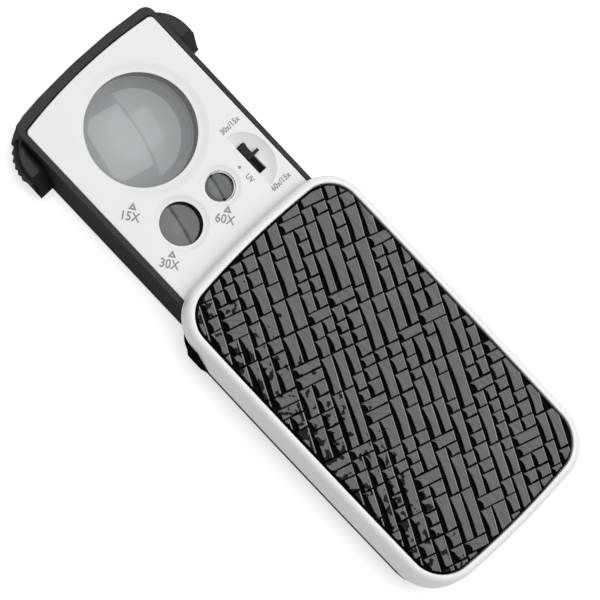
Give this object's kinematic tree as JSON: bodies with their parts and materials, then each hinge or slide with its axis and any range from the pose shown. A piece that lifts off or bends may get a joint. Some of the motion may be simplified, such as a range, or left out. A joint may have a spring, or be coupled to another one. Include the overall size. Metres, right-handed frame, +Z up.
{
  "type": "pull-out pocket loupe",
  "caption": "Pocket loupe with a flat sleeve and a pull-out drawer that carries three round lenses, lamps, a slide switch and button cells.",
  "frame": {"origin": "middle of the bottom of the overall box, with the drawer drawn right out", "axes": "+X along the loupe from the drawer's outer end to the sleeve's closed end, +Z up through the lenses towards the user"},
  "size_m": [0.1552, 0.0572, 0.02],
  "materials": {
    "white_plastic": "satin moulded",
    "panel_plastic": "satin moulded",
    "black_plastic": "fine satin moulded",
    "grey_plastic": "satin moulded",
    "embossed_inlay": "embossed, glossy in the grooves",
    "lens_glass": "polished",
    "board_laminate": "solder mask",
    "lamp_resin": "clear resin",
    "violet_resin": "tinted clear resin",
    "sheet_steel": "plated",
    "contact_brass": "plated"
  },
  "bodies": {
    "sleeve": {"upper_shell": "white_plastic", "inlay_plate": "embossed_inlay", "lower_shell": "black_plastic"},
    "drawer": {"drawer_tray": "black_plastic", "lens_panel": "panel_plastic", "lens_15x": "lens_glass", "lens_retainer_15x": "grey_plastic", "lens_30x": "lens_glass", "lens_barrel_30x": "black_plastic", "lens_60x": "lens_glass", "lens_barrel_60x": "black_plastic", "circuit_board": "board_laminate", "lamp_white_30x": "lamp_resin", "lamp_white_60x": "lamp_resin", "lamp_ultraviolet": "violet_resin", "chip_resistor_1": "black_plastic", "chip_resistor_2": "black_plastic", "chip_resistor_3": "black_plastic", "switch_housing": "black_plastic", "contact_positive": "contact_brass", "contact_bridge": "contact_brass", "contact_negative": "contact_brass", "button_cell_1": "sheet_steel", "button_cell_2": "sheet_steel", "button_cell_3": "sheet_steel", "tray_screw_1": "sheet_steel", "tray_screw_2": "sheet_steel", "tray_screw_3": "sheet_steel", "tray_screw_4": "sheet_steel"},
    "switch_slider": {"switch_knob": "black_plastic"},
    "door": {"battery_door": "black_plastic", "door_contact": "contact_brass"}
  },
  "joints": [
    {"name": "drawer_slide", "type": "slide", "parent": "sleeve", "child": "drawer", "axis": [1, 0, 0], "range_m": [0, 0.0573]},
    {"name": "switch_slide", "type": "slide", "parent": "drawer", "child": "switch_slider", "axis": [1, 0, 0], "range_m": [0, 0.004]},
    {"name": "door_slide", "type": "slide", "parent": "drawer", "child": "door", "axis": [-1, 0, 0], "range_m": [-0.013, 0]}
  ]
}
